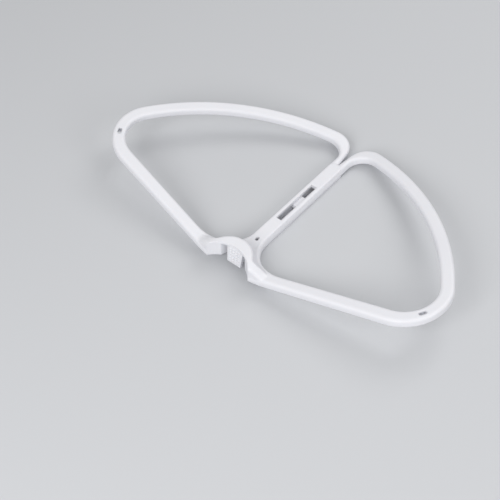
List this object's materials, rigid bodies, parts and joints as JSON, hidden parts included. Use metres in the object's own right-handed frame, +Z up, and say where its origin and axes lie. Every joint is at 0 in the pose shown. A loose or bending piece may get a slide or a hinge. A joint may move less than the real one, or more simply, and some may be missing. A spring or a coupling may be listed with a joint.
{
  "type": "drone propeller guard",
  "caption": "Propeller guard moulded in one piece: rising looped rails either side of a slotted spine, with a short collar and finger tab that clip onto the motor foot.",
  "frame": {"origin": "middle of the outline, level with the flat underside of the spine", "axes": "+Y along the spine, away from the motor; +Z up, the side that the loops rise to; +X across both loops"},
  "size_m": [0.2538, 0.1388, 0.0288],
  "materials": {
    "white_plastic": "smooth moulded, satin gloss"
  },
  "bodies": {
    "root": {"propeller_guard": "white_plastic"}
  },
  "joints": []
}
